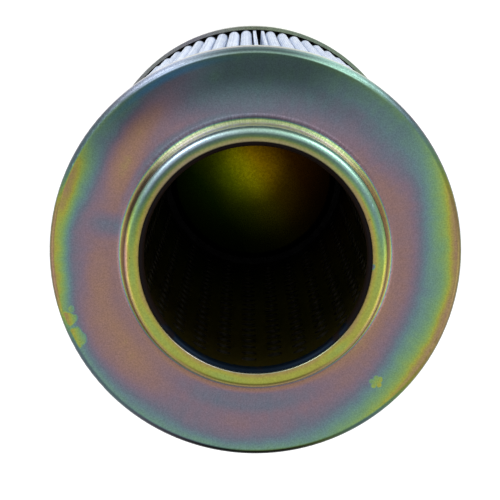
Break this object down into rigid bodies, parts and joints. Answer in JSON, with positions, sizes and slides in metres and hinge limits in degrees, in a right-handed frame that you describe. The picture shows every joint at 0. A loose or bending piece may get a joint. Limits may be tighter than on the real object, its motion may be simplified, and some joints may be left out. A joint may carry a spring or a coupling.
{
  "type": "pleated filter element",
  "caption": "Hydraulic filter element: pleated pack on a perforated core tube between two pressed, yellow-chromated end caps, with a seal ring in the open neck.",
  "frame": {"origin": "centre of the underside of the closed end cap, on which the element stands", "axes": "+Z along the element's axis, up through the open neck; the pleat pack's seam faces +Y"},
  "size_m": [0.095, 0.095, 0.1755],
  "materials": {
    "cap_zinc": "pressed steel, zinc plated and yellow chromated, iridescent from violet to green and gold",
    "seal_rubber": "black moulded seal rubber with an oily sheen",
    "core_steel": "punched steel tube, dull yellow chromate",
    "filter_media": "pleated filter fleece under a fine coated wire mesh, bluish white",
    "resin": "black cast resin"
  },
  "bodies": {
    "root": {"open_end_cap": "cap_zinc", "neck_o_ring": "seal_rubber", "core_tube": "core_steel", "pleated_media": "filter_media", "seam_bead": "resin", "open_end_resin": "resin", "closed_end_resin": "resin", "closed_end_cap": "cap_zinc"}
  },
  "joints": []
}
